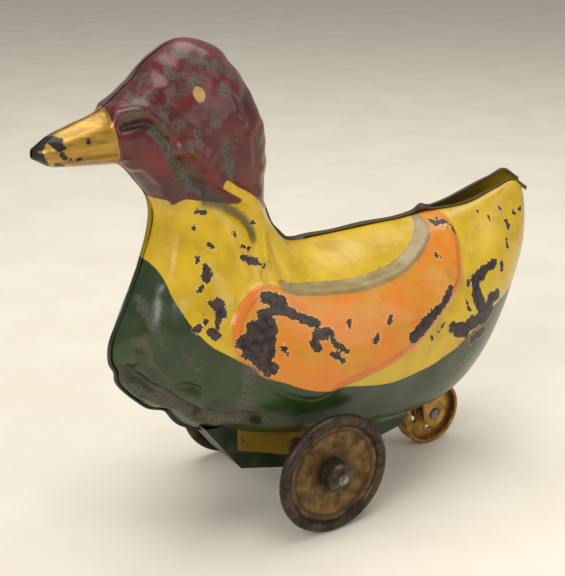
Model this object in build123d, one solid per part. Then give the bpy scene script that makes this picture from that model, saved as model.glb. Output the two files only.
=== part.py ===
from build123d import *
import os
from math import acos, cos, hypot, pi, radians, sin, tan

os.makedirs("parts", exist_ok=True)

# Rolling clockwork duck of pressed steel.  Millimetres, +Z up, the floor at Z = 0.
# The beak points along -X, the duck's left side is -Y, and Y = 0 is the seam between its two halves.

# ---------------------------------------------------------------- driving dimensions
SHEET = 0.6             # body steel, 24 gauge
SEAM_LIP = 1.8          # how far the seam flange stands out of the body
FLANGE_STEEL = 0.5      # each half's share of the seam flange

FRONT_RADIUS = 25.4     # two-inch front wheels
FRONT_TRACK = 41.0      # centre plane of a front wheel from Y = 0
FRONT_X = -16.4         # front axle
AXLE_RADIUS = 1.6
AXLE_END = 48.0
RIM_BEAD = 2.4          # rolled rim
HUB_RADIUS = 6.3
HUB_SPIGOT = 4.4
HUB_RISE = 5.9          # the hub's outer face beyond the wheel's centre plane
WEB_DROP = 0.9          # the web's outer face at the hub, inside the wheel's centre plane
BUSH_RADIUS = 2.5       # eyelet that carries the front axle
BUSH_FLANGE = 3.7
REAR_RADIUS = 15.8
REAR_X = 65.5
REAR_HALF_WIDTH = 3.9
REAR_PIN_RADIUS = 1.5
REAR_HUB_RADIUS = 2.5
FORK_INSIDE = 4.6       # inner face of each fork arm from Y = 0
FORK_STEEL = 1.0
FORK_TOP = 35.0
ARM_END_RADIUS = 6.2    # rounded end of each fork arm
STRAP_FRONT = -9.5      # the fork strap's front and back edges from the rear axle, along X
STRAP_BACK = 2.5
STRAP_HALF = (17.5, 13.5)   # its half-length at those two edges
RUNNING = 0.05          # radial clearance of every running shaft

PAN_HALF_WIDTH = 13.0   # mechanism pan under the belly
PLATE_GAP = 10.4        # inner face of each clockwork plate from Y = 0
PLATE_STEEL = 1.0
ARBOR_RADIUS = 1.1
GOVERNOR_RADIUS = 0.9
WINDING_RADIUS = 1.5
PILLAR_RADIUS = 1.6
PILLAR_SPIGOT = 1.0
FAN_RADIUS = 9.0        # reach of the governor's vanes

SPRING_STEEL = 0.35
SPRING_START = 4.4      # radius of the mainspring's innermost half turn
SPRING_GROWTH = 1.1     # radius gained in each half turn
SPRING_HALF_TURNS = 12
DRUM_RADIUS = 4.0       # the part of the winding arbor that carries the spring

SHELL_SIDE = 40.5       # outer face of the key collar's flange
COLLAR_RADIUS = 3.3
COLLAR_FLANGE = 5.4
SQUARE = 2.8            # square end of the winding arbor
SQUARE_FIT = 0.02       # how much wider the key's socket is
KEY_SOCKET_START = SHELL_SIDE + 1.5
KEY_SOCKET_END = 51.0
KEY_SOCKET_RADIUS = 2.8
KEY_TIP = 60.0
EAR_RADIUS = 6.4        # the key's two ears
EAR_REACH = 7.6
EAR_STEEL = 1.6
EAR_HOLE = 2.6

CLICK_PIN_RADIUS = 1.0
CLICK_EYE = 2.1         # outside of the click round its pin
CLICK_SHAPE = [(0.2, 6.1), (4.0, 6.8), (8.8, 6.0), (9.6, 9.4), (0.2, 7.5)]  # from the great arbor
CLICK_WIRE = 0.25       # radius of the click spring's wire

MODULE = 0.8            # gear teeth
PRESSURE_ANGLE = radians(20)
WHEEL_ADDENDUM = 0.42
PINION_ADDENDUM = 0.62
DEDENDUM = 0.95
BACKLASH = 0.14
AXLE_TEETH = 12
SECOND_TEETH = 40
LEAF_TEETH = 10         # second pinion and governor pinion
GREAT_TEETH = 48
RATCHET_TEETH = 12
RATCHET_TIP = 7.2
RATCHET_ROOT = 5.8

# Layers of the clockwork along Y: where each gear or lever starts and ends.
FIRST_LAYER = (-9.0, -8.0)          # second wheel
FIRST_LEAVES = (-9.7, -7.3)         # pinions that run with the second wheel
GREAT_LAYER = (-6.2, -5.2)
GREAT_LEAVES = (-7.0, -4.6)         # pinion that runs with the great wheel
CLICK_LAYER = (-4.6, -3.4)          # ratchet wheel and click
SPRING_LAYER = (0.5, 8.5)           # mainspring


def stepped(start, reach, bearing):
    """The point at a distance and bearing (degrees, from +X towards +Z) from another."""
    return (start[0] + reach * cos(radians(bearing)), start[1] + reach * sin(radians(bearing)))


# Arbor places in the XZ plane, each a gear's centre distance from the one before.
TO_SECOND = 67.4
TO_GREAT = 105.0
TO_GOVERNOR = -11.5
AXLE_AT = (FRONT_X, FRONT_RADIUS)
SECOND_AT = stepped(AXLE_AT, MODULE * (AXLE_TEETH + SECOND_TEETH) / 2, TO_SECOND)
GREAT_AT = stepped(SECOND_AT, MODULE * (LEAF_TEETH + GREAT_TEETH) / 2, TO_GREAT)
GOVERNOR_AT = stepped(SECOND_AT, MODULE * (LEAF_TEETH + SECOND_TEETH) / 2, TO_GOVERNOR)
CLICK_AT = (GREAT_AT[0] + 10.0, GREAT_AT[1] + 7.5)
REAR_AT = (REAR_X, REAR_RADIUS)
PILLARS_AT = [(-30.1, 84), (18, 84), (-29, 29), (19, 24)]

# Ribs of the left half, from tail to beak tip: the seam point at the top, the seam point at the
# bottom, the half-width, and how full the rib is towards the top and the bottom seam
# (0.5 is an ellipse, 1.0 a parabola that meets the seam at a sharp edge).
RIBS = [
    ((114.3, 119.5), (117.2, 104), 0.8, 0.60, 0.60),
    ((112.5, 120.5), (115.5, 103), 3.0, 0.60, 0.60),
    ((106, 124.5), (114.5, 88), 8.0, 0.65, 0.65),
    ((95, 122.5), (106, 67), 14.5, 0.70, 0.65),
    ((80, 118), (93, 47.5), 21.5, 0.75, 0.60),
    ((62, 114), (76, 31), 28.5, 0.75, 0.58),
    ((46, 112), (58, 23.8), 32.8, 0.75, 0.56),
    ((31, 111.7), (40, 22.8), 35.3, 0.75, 0.55),
    ((16, 111.3), (21, 24.4), 37.0, 0.73, 0.55),
    ((1, 111), (1, 26.5), 37.6, 0.72, 0.55),
    ((-10, 111), (-24, 30.5), 36.6, 0.68, 0.55),
    ((-15, 112.6), (-46, 36.5), 33.6, 0.64, 0.58),
    ((-18.5, 115.8), (-65, 45), 30.0, 0.60, 0.65),
    ((-21, 119), (-80, 57), 26.5, 0.58, 0.72),
    ((-22.8, 122), (-89.5, 69), 24.0, 0.56, 0.78),
    ((-24.2, 125), (-91, 82), 21.8, 0.54, 0.80),
    ((-25.4, 128.5), (-84.5, 97), 19.5, 0.52, 0.76),
    ((-26.2, 133), (-77, 114), 17.3, 0.50, 0.68),
    ((-26, 139.5), (-71.8, 130.5), 16.4, 0.50, 0.60),
    ((-25, 148), (-73.6, 138.5), 17.2, 0.50, 0.55),
    ((-26, 159.5), (-78, 145), 18.6, 0.50, 0.55),
    ((-32, 175), (-82, 150.2), 19.0, 0.52, 0.55),
    ((-43.5, 190), (-84.6, 152.2), 17.8, 0.55, 0.55),
    ((-58, 194.5), (-86.2, 152.8), 15.6, 0.55, 0.55),
    ((-72.5, 187.5), (-88, 153), 12.8, 0.53, 0.55),
    ((-83, 177.5), (-90.5, 153.2), 10.6, 0.50, 0.52),
    ((-91, 171.8), (-95.5, 153.5), 9.6, 0.50, 0.50),
    ((-102, 167.6), (-104.5, 154), 8.4, 0.50, 0.50),
    ((-110.5, 164.3), (-111.6, 155.2), 6.3, 0.50, 0.50),
    ((-115.3, 161.2), (-115.6, 157.6), 2.8, 0.50, 0.50),
    ((-116.4, 160.6), (-116.6, 158.2), 0.8, 0.50, 0.50),
]
HOLLOW_X = (-112, 110)  # the body is hollow between these, and its two tips are closed
RIB_STEPS = 12          # points along a rib, from seam to seam

# Side views, as closed outlines of (x, z) points.
PAN_SIDE = [(-59, 44), (-43, 22.5), (-22, 17), (24, 17), (39, 20), (44, 27), (44, 37)]
PAN_MOUTH = [(-67, 54.75), (-43, 22.5), (-22, 17), (24, 17), (39, 20), (44, 27), (44, 50)]
PLATE_SIDE = [(-21, 17.6), (23, 17.6), (27, 42), (23, 88), (-35, 88), (-34, 26)]
SLOT_X = (48.5, 83.5)   # opening in the belly for the rear wheel
SLOT_HALF_WIDTH = 8.0
SLOT_TOP = 38.0


# ---------------------------------------------------------------- helpers
def on_side(point, y=0.0):
    """A point given as (x, z), placed at a distance along Y."""
    return (point[0], y, point[1])


def disc(radius, y_from, y_to, at=(0, 0), bore=0.0):
    """A round slice about an axis along Y."""
    plane = Plane(origin=(at[0], y_to, at[1]), x_dir=(1, 0, 0), z_dir=(0, -1, 0))
    solid = extrude(plane * Circle(radius), amount=y_to - y_from)
    if bore:
        solid -= extrude(plane * Circle(bore), amount=y_to - y_from)
    return solid


def plate_from(outline, y_from, y_to):
    """A flat plate between two Y values, from a closed outline of (x, z) points."""
    face = make_face(Polyline([on_side(p, y_to) for p in outline], close=True))
    return extrude(face, amount=y_to - y_from, dir=(0, -1, 0))


def turned(profile, at):
    """A body of revolution about an axis along Y, from a closed outline of (radius, y) points."""
    face = make_face(Polyline([(at[0] + r, y, at[1]) for r, y in profile], close=True))
    return revolve(face, axis=Axis(on_side(at), (0, 1, 0)), revolution_arc=360)


def bar(start, end, radius):
    """A round wire between two points."""
    path = Line(start, end)
    return sweep(Plane(origin=start, z_dir=path % 0) * Circle(radius), path=path)


def mirrored(shape):
    """The same shape on the duck's other side."""
    return mirror(shape, about=Plane.XZ)


def rib_section(rib, inset, lip, beyond=2.0):
    """One closed rib section: the curved side, the seam lip, and a flat side past the seam plane."""
    (top_x, top_z), (low_x, low_z), width, full_top, full_low = rib
    length = hypot(top_x - low_x, top_z - low_z)
    along = ((top_x - low_x) / length, (top_z - low_z) / length)
    middle = ((top_x + low_x) / 2, (top_z + low_z) / 2)
    half = length / 2 - inset

    def at(reach, y):
        return (middle[0] + along[0] * reach, y, middle[1] + along[1] * reach)

    curve = []
    for step in range(RIB_STEPS + 1):
        angle = pi * step / RIB_STEPS
        fullness = full_top if step < RIB_STEPS / 2 else full_low
        bulge = (width - inset - FLANGE_STEEL) * max(sin(angle), 0.0) ** (2 * fullness)
        curve.append(at(half * cos(angle), -FLANGE_STEEL - bulge))
    shoulder = -FLANGE_STEEL if lip else beyond / 2
    straight = [at(-half - lip, shoulder), at(-half - lip, beyond), at(half + lip, beyond),
                at(half + lip, shoulder)]
    return make_face([Spline(*curve), Polyline(curve[-1], *straight, curve[0])])


def gear(teeth, addendum, at, layer, bore, turn):
    """A spur gear of involute teeth, with one tooth's centre at a bearing of `turn` degrees."""
    pitch_radius = MODULE * teeth / 2
    base_radius = pitch_radius * cos(PRESSURE_ANGLE)
    root = pitch_radius - DEDENDUM
    tip = pitch_radius + addendum
    start = max(base_radius, root)
    half_tooth = (pi * MODULE / 2 - BACKLASH) / (2 * pitch_radius)

    def half_angle(radius):
        roll = acos(min(base_radius / radius, 1.0))
        return half_tooth + tan(PRESSURE_ANGLE) - PRESSURE_ANGLE - tan(roll) + roll

    radii = [start + (tip - start) * step / 3 for step in range(4)]
    flank = [(radius, half_angle(radius)) for radius in radii]
    if root < base_radius:
        flank = [(root, half_angle(start))] + flank
    outline = []
    for tooth in range(teeth):
        centre = radians(turn) + 2 * pi * tooth / teeth
        for radius, angle in flank:
            outline.append((radius, centre - angle))
        for radius, angle in reversed(flank):
            outline.append((radius, centre + angle))
    points = [(at[0] + r * cos(a), at[1] + r * sin(a)) for r, a in outline]
    return plate_from(points, *layer) - disc(bore, layer[0] - 1, layer[1] + 1, at)


def meshed_turn(turn, teeth, next_teeth, bearing):
    """The turn that puts the next gear's tooth gap where this gear's tooth meets it."""
    ahead = (turn - bearing) % (360 / teeth)
    return bearing + 180 - ahead * teeth / next_teeth + 180 / next_teeth


# ---------------------------------------------------------------- body, pan and seam
def half_duck():
    """The hollow left half, with its seam lip, before any opening is cut."""
    outer = loft([rib_section(rib, 0, SEAM_LIP) for rib in RIBS])
    hollow = loft([rib_section(rib, SHEET, 0) for rib in RIBS])
    hollow &= Pos((HOLLOW_X[0] + HOLLOW_X[1]) / 2, 0, 100) * Box(HOLLOW_X[1] - HOLLOW_X[0], 100, 300)
    left_side = Pos(0, -40, 100) * Box(300, 80, 300)
    return (outer - hollow) & left_side


def body_shell_left():
    """The left half, open underneath for the mechanism pan and the rear wheel."""
    shell = half_duck() - plate_from(PAN_SIDE, -PAN_HALF_WIDTH, PAN_HALF_WIDTH)
    middle = (SLOT_X[0] + SLOT_X[1]) / 2
    length = SLOT_X[1] - SLOT_X[0]
    return shell - Pos(middle, 0, SLOT_TOP / 2) * Box(length, 2 * SLOT_HALF_WIDTH, SLOT_TOP)


def belly_pan():
    """A folded trough that closes the belly and carries the clockwork and the front axle."""
    mouth = make_face(Polyline([on_side(p) for p in PAN_MOUTH], close=True))
    inside = offset(mouth, amount=-SHEET, kind=Kind.INTERSECTION)
    inner_half = PAN_HALF_WIDTH - SHEET
    cavity = extrude(inside, amount=inner_half, both=True)
    pan = plate_from(PAN_SIDE, -PAN_HALF_WIDTH, PAN_HALF_WIDTH) - cavity
    return pan - disc(BUSH_RADIUS, -20, 20, AXLE_AT)


def axle_bush():
    """A flanged eyelet that carries the front axle in the pan's left wall."""
    inner, outer, face = -PAN_HALF_WIDTH + SHEET, -PAN_HALF_WIDTH, -PAN_HALF_WIDTH - 0.8
    bore = AXLE_RADIUS + RUNNING
    return turned([(bore, inner), (BUSH_RADIUS, inner), (BUSH_RADIUS, outer), (BUSH_FLANGE, outer),
                   (BUSH_FLANGE - 0.3, face), (bore, face)], AXLE_AT)


# ---------------------------------------------------------------- front wheels
def front_axle():
    """The rod through both front wheels, peened over at each end."""
    head = AXLE_RADIUS + 0.7
    rod = disc(AXLE_RADIUS, -AXLE_END, AXLE_END, AXLE_AT)
    hub_face = FRONT_TRACK + HUB_RISE
    return rod + disc(head, -AXLE_END, -hub_face, AXLE_AT) + disc(head, hub_face, AXLE_END, AXLE_AT)


def front_wheel_left():
    """The stamped outer disc, its web dished in to the hub and its edge rolled into a bead."""
    def out(value):
        return -FRONT_TRACK - value

    web = turned([(HUB_SPIGOT, out(-WEB_DROP)), (9, out(-1.0)), (17, out(-0.2)), (22, out(0.9)),
                  (22, out(0.1)), (17, out(-1.0)), (9, out(-1.8)), (HUB_SPIGOT, out(-1.7))], AXLE_AT)
    bead_centre = Plane(origin=on_side(AXLE_AT, -FRONT_TRACK), z_dir=(0, 1, 0))
    return web + bead_centre * Torus(FRONT_RADIUS - RIM_BEAD, RIM_BEAD)


def wheel_back_left():
    """The inner cover disc, held by the hub against the rolled rim."""
    def out(value):
        return -FRONT_TRACK - value

    return turned([(HUB_SPIGOT, out(-3.4)), (14, out(-3.4)), (21.1, out(-2.1)), (20.9, out(-1.5)),
                   (14, out(-2.8)), (HUB_SPIGOT, out(-2.8))], AXLE_AT)


def hub_boss_left():
    """The raised hub, with a spigot that clamps both discs to the axle."""
    def out(value):
        return -FRONT_TRACK - value

    return turned([(AXLE_RADIUS, out(HUB_RISE)), (HUB_RADIUS - 1.1, out(HUB_RISE)),
                   (HUB_RADIUS - 0.3, out(HUB_RISE - 0.35)), (HUB_RADIUS, out(HUB_RISE - 1.2)),
                   (HUB_RADIUS, out(-WEB_DROP)), (HUB_SPIGOT, out(-WEB_DROP)), (HUB_SPIGOT, out(-4.2)),
                   (AXLE_RADIUS, out(-4.2))], AXLE_AT)


# ---------------------------------------------------------------- rear wheel
def rear_wheel_left():
    """One of two identical stamped halves, with a deep rim and three kidney slots in its web."""
    width = REAR_HALF_WIDTH
    tread = REAR_RADIUS - 0.7
    half = turned([(REAR_HUB_RADIUS, 0), (REAR_RADIUS, 0), (REAR_RADIUS, 0.8 - width),
                   (tread, -width), (tread - 1.0, -width), (tread - 1.4, 0.7 - width),
                   (tread - 0.6, 1.1 - width), (tread, 1.9 - width), (tread, -0.7),
                   (REAR_HUB_RADIUS, -0.7)], REAR_AT)
    plane = Plane(origin=on_side(REAR_AT, 1), x_dir=(1, 0, 0), z_dir=(0, -1, 0))
    for slot in range(3):
        kidney = SlotArc(CenterArc((0, 0), 8.6, 120 * slot + 30, 50), height=2.6)
        half -= extrude(plane * kidney, amount=3)
    return half


def rear_hub():
    """The sleeve that both halves of the rear wheel are staked on."""
    reach = FORK_INSIDE - 0.25
    return disc(REAR_HUB_RADIUS, -reach, reach, REAR_AT, bore=REAR_PIN_RADIUS + RUNNING)


def rear_axle_pin():
    """The rivet through the fork arms, with a domed head on each side."""
    outside = FORK_INSIDE + FORK_STEEL
    half_profile = [(REAR_PIN_RADIUS, outside), (3.0, outside), (2.6, outside + 0.9),
                    (1.4, outside + 1.4), (0, outside + 1.5)]
    other_half = [(r, -y) for r, y in reversed(half_profile)]
    return turned(half_profile + other_half, REAR_AT)


def rear_fork():
    """A strap bent over the rear wheel, with a rounded eye round the pin on each arm."""
    x, z = REAR_AT
    outside = FORK_INSIDE + FORK_STEEL
    inside_top = FORK_TOP - FORK_STEEL
    front, back = x + STRAP_FRONT, x + STRAP_BACK
    arm_outline = [(x - ARM_END_RADIUS, z), (x + ARM_END_RADIUS, z), (back, FORK_TOP), (front, FORK_TOP)]
    arms = plate_from(arm_outline, -outside, outside) + disc(ARM_END_RADIUS, -outside, outside, REAR_AT)
    between = Pos(x, 0, inside_top / 2) * Box(60, 2 * FORK_INSIDE, inside_top)
    long_half, short_half = STRAP_HALF
    bridge = make_face(Polyline([(front, -long_half, inside_top), (back, -short_half, inside_top),
                                 (back, short_half, inside_top), (front, long_half, inside_top)], close=True))
    fork = (arms - between) + extrude(bridge, amount=FORK_STEEL, dir=(0, 0, 1))
    return fork - disc(REAR_PIN_RADIUS, -20, 20, REAR_AT)


# ---------------------------------------------------------------- clockwork frame
def frame_plate(y_from, y_to):
    """One side plate, drilled for its arbors, the front axle and the four pillars."""
    plate = plate_from(PLATE_SIDE, y_from, y_to)
    holes = [(AXLE_AT, AXLE_RADIUS + RUNNING), (SECOND_AT, ARBOR_RADIUS + RUNNING),
             (GREAT_AT, WINDING_RADIUS + RUNNING), (GOVERNOR_AT, GOVERNOR_RADIUS + RUNNING)]
    holes += [(at, PILLAR_SPIGOT) for at in PILLARS_AT]
    for at, radius in holes:
        plate -= disc(radius, y_from - 1, y_to + 1, at)
    return plate


def frame_pillar(at):
    """A shouldered pillar, riveted over outside each plate."""
    outside = PLATE_GAP + PLATE_STEEL
    head = outside + 0.5
    half_profile = [(PILLAR_RADIUS, PLATE_GAP), (PILLAR_SPIGOT, PLATE_GAP), (PILLAR_SPIGOT, outside),
                    (PILLAR_RADIUS, outside), (PILLAR_RADIUS - 0.2, head), (0, head)]
    other_half = [(r, -y) for r, y in reversed(half_profile)]
    return turned(half_profile + other_half, at)


# ---------------------------------------------------------------- winding side
def mainspring():
    """A flat spiral of half turns, its outer end drawn up beside the front top pillar."""
    start_x = GREAT_AT[0] - SPRING_START
    z = GREAT_AT[1]
    inner_edge, outer_edge = [], []
    for turn in range(SPRING_HALF_TURNS):
        radius = SPRING_START + SPRING_GROWTH * turn
        side = 1 if turn % 2 == 0 else -1
        centre = start_x + side * radius
        for edge, change in ((inner_edge, -SPRING_STEEL / 2), (outer_edge, SPRING_STEEL / 2)):
            reach = radius + change
            edge.append(ThreePointArc((centre - side * reach, 0, z), (centre, 0, z + side * reach),
                                      (centre + side * reach, 0, z)))
        start_x = centre + side * radius
    hook_z = PILLARS_AT[0][1] + 2
    half = SPRING_STEEL / 2
    inner_tail = Line(inner_edge[-1] @ 1, (start_x + half, 0, hook_z))
    outer_tail = Line(outer_edge[-1] @ 1, (start_x - half, 0, hook_z))
    ends = [Line(inner_tail @ 1, outer_tail @ 1), Line(inner_edge[0] @ 0, outer_edge[0] @ 0)]
    band = make_face(inner_edge + outer_edge + [inner_tail, outer_tail] + ends)
    width = SPRING_LAYER[1] - SPRING_LAYER[0]
    return Pos(0, SPRING_LAYER[1], 0) * extrude(band, amount=width, dir=(0, -1, 0))


def winding_arbor():
    """The great wheel's arbor: a drum for the spring, and a square end outside the body."""
    start = -PLATE_GAP - PLATE_STEEL - 0.5
    drum = (SPRING_LAYER[0] - 0.2, SPRING_LAYER[1] + 0.2)
    square_start = KEY_SOCKET_START
    round_part = turned([(0, start), (WINDING_RADIUS, start), (WINDING_RADIUS, drum[0]),
                         (DRUM_RADIUS, drum[0]), (DRUM_RADIUS, drum[1]), (WINDING_RADIUS, drum[1]),
                         (WINDING_RADIUS, square_start), (0, square_start)], GREAT_AT)
    square_length = KEY_SOCKET_END - 1.0 - square_start
    middle = (GREAT_AT[0], square_start + square_length / 2, GREAT_AT[1])
    return round_part + Pos(*middle) * Box(SQUARE, square_length, SQUARE)


def winding_key():
    """A socket with two pierced ears for finger and thumb."""
    x, z = GREAT_AT
    socket = disc(KEY_SOCKET_RADIUS, KEY_SOCKET_START, KEY_SOCKET_END + 2, GREAT_AT)
    ear_y = KEY_TIP - EAR_RADIUS
    ears = Pos(x, ear_y, z) * Box(EAR_STEEL, EAR_RADIUS * 1.5, 2 * EAR_REACH)
    for side in (-1, 1):
        plane = Plane(origin=(x - EAR_STEEL / 2, ear_y, z + side * EAR_REACH), z_dir=(1, 0, 0))
        ears += extrude(plane * Circle(EAR_RADIUS), amount=EAR_STEEL)
    for side in (-1, 1):
        plane = Plane(origin=(x - EAR_STEEL, ear_y, z + side * (EAR_REACH + 0.6)), z_dir=(1, 0, 0))
        ears -= extrude(plane * Circle(EAR_HOLE), amount=2 * EAR_STEEL)
    depth = KEY_SOCKET_END - KEY_SOCKET_START
    hole = Pos(x, KEY_SOCKET_START + depth / 2, z) * Box(SQUARE + SQUARE_FIT, depth, SQUARE + SQUARE_FIT)
    return (socket + ears) - hole


def key_collar():
    """The eyelet that lines the key hole in the right side."""
    inner, outer = SHELL_SIDE - 5.5, SHELL_SIDE
    bore = WINDING_RADIUS + 0.3
    return turned([(bore, inner), (COLLAR_RADIUS, inner), (COLLAR_RADIUS, outer - 0.8),
                   (COLLAR_FLANGE, outer - 0.8), (COLLAR_FLANGE - 0.3, outer), (bore, outer)], GREAT_AT)


def ratchet_wheel():
    """Saw teeth, steep on one side, that the click catches as the spring drives."""
    outline = []
    pitch = 2 * pi / RATCHET_TEETH
    for tooth in range(RATCHET_TEETH):
        angle = tooth * pitch
        outline.append((GREAT_AT[0] + RATCHET_ROOT * cos(angle), GREAT_AT[1] + RATCHET_ROOT * sin(angle)))
        outline.append((GREAT_AT[0] + RATCHET_TIP * cos(angle), GREAT_AT[1] + RATCHET_TIP * sin(angle)))
    return plate_from(outline, *CLICK_LAYER) - disc(WINDING_RADIUS, -10, 0, GREAT_AT)


def click():
    """The pawl, its nose behind a ratchet tooth and its eye on the click rivet."""
    outline = [(GREAT_AT[0] + x, GREAT_AT[1] + z) for x, z in CLICK_SHAPE]
    pawl = plate_from(outline, *CLICK_LAYER) + disc(CLICK_EYE, *CLICK_LAYER, CLICK_AT)
    return pawl - disc(CLICK_PIN_RADIUS + RUNNING, -10, 0, CLICK_AT)


def click_rivet():
    """The shouldered rivet that the click turns on, fixed in the great wheel."""
    low, high = GREAT_LAYER
    return turned([(0, low - 0.5), (1.6, low - 0.5), (1.6, low), (CLICK_PIN_RADIUS, low),
                   (CLICK_PIN_RADIUS, high), (1.7, high), (1.7, CLICK_LAYER[0] - 0.05),
                   (CLICK_PIN_RADIUS, CLICK_LAYER[0] - 0.05), (CLICK_PIN_RADIUS, -2.6), (1.9, -2.6),
                   (1.6, -2.0), (0, -2.0)], CLICK_AT)


def click_spring():
    """A hairpin of thin wire round the click rivet, one arm along the click."""
    y = CLICK_LAYER[1] + 0.4
    coil_radius = CLICK_PIN_RADIUS + CLICK_WIRE + 0.1
    x, z = CLICK_AT
    coil = Plane(origin=(x, y, z), z_dir=(0, 1, 0)) * Torus(coil_radius, CLICK_WIRE)
    along_click = bar((x, y, z + coil_radius), (x - 6.5, y, z + 0.4), CLICK_WIRE)
    to_wheel = bar((x + coil_radius, y, z), (x + 1.8, y, z - 6.5), CLICK_WIRE)
    return coil + along_click + to_wheel


def great_wheel():
    """The wheel that the spring drives, pierced to lighten it."""
    wheel = gear(GREAT_TEETH, WHEEL_ADDENDUM, GREAT_AT, GREAT_LAYER, WINDING_RADIUS + RUNNING,
                 meshed_turn(TO_GREAT, LEAF_TEETH, GREAT_TEETH, TO_GREAT))
    for bearing in (120, 200, 280):
        wheel -= disc(3.6, -10, 0, stepped(GREAT_AT, 12.4, bearing))
    return wheel - disc(CLICK_PIN_RADIUS, -10, 0, CLICK_AT)


# ---------------------------------------------------------------- going train
def plain_arbor(radius, at):
    """A straight arbor between the two plates."""
    reach = PLATE_GAP + PLATE_STEEL + 0.4
    return disc(radius, -reach, reach, at)


def governor_fan():
    """Two air vanes on a hub, which hold the train back."""
    x, z = GOVERNOR_AT
    hub = disc(2.2, 0, 7, GOVERNOR_AT)
    vanes = Pos(x, 3.5, z) * Box(2 * FAN_RADIUS, 7, 0.5)
    return hub + vanes - disc(GOVERNOR_RADIUS, -1, 8, GOVERNOR_AT)


left_shell = body_shell_left()
second_turn = meshed_turn(TO_SECOND, AXLE_TEETH, SECOND_TEETH, TO_SECOND)
governor_turn = meshed_turn(second_turn, SECOND_TEETH, LEAF_TEETH, TO_GOVERNOR)

PARTS = {
    "body_shell_left": left_shell,
    "body_shell_right": mirrored(left_shell) - disc(COLLAR_RADIUS, 20, 60, GREAT_AT),
    "belly_pan": belly_pan(),
    "axle_bushes": Compound([axle_bush(), mirrored(axle_bush())]),
    "front_axle": front_axle(),
    "front_wheel_left": front_wheel_left(),
    "front_wheel_right": mirrored(front_wheel_left()),
    "wheel_back_left": wheel_back_left(),
    "wheel_back_right": mirrored(wheel_back_left()),
    "hub_boss_left": hub_boss_left(),
    "hub_boss_right": mirrored(hub_boss_left()),
    "rear_fork": rear_fork(),
    "rear_axle_pin": rear_axle_pin(),
    "rear_hub": rear_hub(),
    "rear_wheel_left": rear_wheel_left(),
    "rear_wheel_right": mirrored(rear_wheel_left()),
    "frame_plate_left": frame_plate(-PLATE_GAP - PLATE_STEEL, -PLATE_GAP),
    "frame_plate_right": frame_plate(PLATE_GAP, PLATE_GAP + PLATE_STEEL),
    "frame_pillars": Compound([frame_pillar(at) for at in PILLARS_AT]),
    "mainspring": mainspring(),
    "winding_arbor": winding_arbor(),
    "winding_key": winding_key(),
    "key_collar": key_collar(),
    "ratchet_wheel": ratchet_wheel(),
    "click": click(),
    "click_rivet": click_rivet(),
    "click_spring": click_spring(),
    "great_wheel": great_wheel(),
    "second_arbor": plain_arbor(ARBOR_RADIUS, SECOND_AT),
    "second_wheel": gear(SECOND_TEETH, WHEEL_ADDENDUM, SECOND_AT, FIRST_LAYER, ARBOR_RADIUS, second_turn),
    "second_pinion": gear(LEAF_TEETH, PINION_ADDENDUM, SECOND_AT, GREAT_LEAVES, ARBOR_RADIUS, TO_GREAT),
    "axle_pinion": gear(AXLE_TEETH, PINION_ADDENDUM, AXLE_AT, FIRST_LEAVES, AXLE_RADIUS, TO_SECOND),
    "governor_arbor": plain_arbor(GOVERNOR_RADIUS, GOVERNOR_AT),
    "governor_pinion": gear(LEAF_TEETH, PINION_ADDENDUM, GOVERNOR_AT, FIRST_LEAVES, GOVERNOR_RADIUS,
                            governor_turn),
    "governor_fan": governor_fan(),
}

for name, shape in PARTS.items():
    export_step(shape, f"parts/{name}.step")
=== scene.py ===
import math

import bmesh
import bpy
import numpy as np
from mathutils import Matrix, Vector


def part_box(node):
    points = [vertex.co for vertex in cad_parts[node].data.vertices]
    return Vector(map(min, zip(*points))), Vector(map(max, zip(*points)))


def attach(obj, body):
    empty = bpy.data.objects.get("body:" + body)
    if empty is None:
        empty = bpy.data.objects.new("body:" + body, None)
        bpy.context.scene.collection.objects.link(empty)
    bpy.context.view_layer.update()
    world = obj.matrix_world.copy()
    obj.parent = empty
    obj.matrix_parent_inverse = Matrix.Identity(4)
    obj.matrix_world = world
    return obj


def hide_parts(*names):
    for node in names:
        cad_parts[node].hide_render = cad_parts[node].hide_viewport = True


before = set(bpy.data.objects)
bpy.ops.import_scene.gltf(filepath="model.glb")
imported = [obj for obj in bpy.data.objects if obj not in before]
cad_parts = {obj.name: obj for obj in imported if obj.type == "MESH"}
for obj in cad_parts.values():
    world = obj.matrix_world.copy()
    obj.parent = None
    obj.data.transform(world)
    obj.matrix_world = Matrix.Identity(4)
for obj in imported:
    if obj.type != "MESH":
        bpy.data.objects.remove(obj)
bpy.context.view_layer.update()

MM = 0.001

# Rolling clockwork duck.  The beak points along -X, the duck's left side is -Y, Z = 0 is the floor.
# Shapes are worked out in millimetres and turned into metres when their meshes are made.

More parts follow.
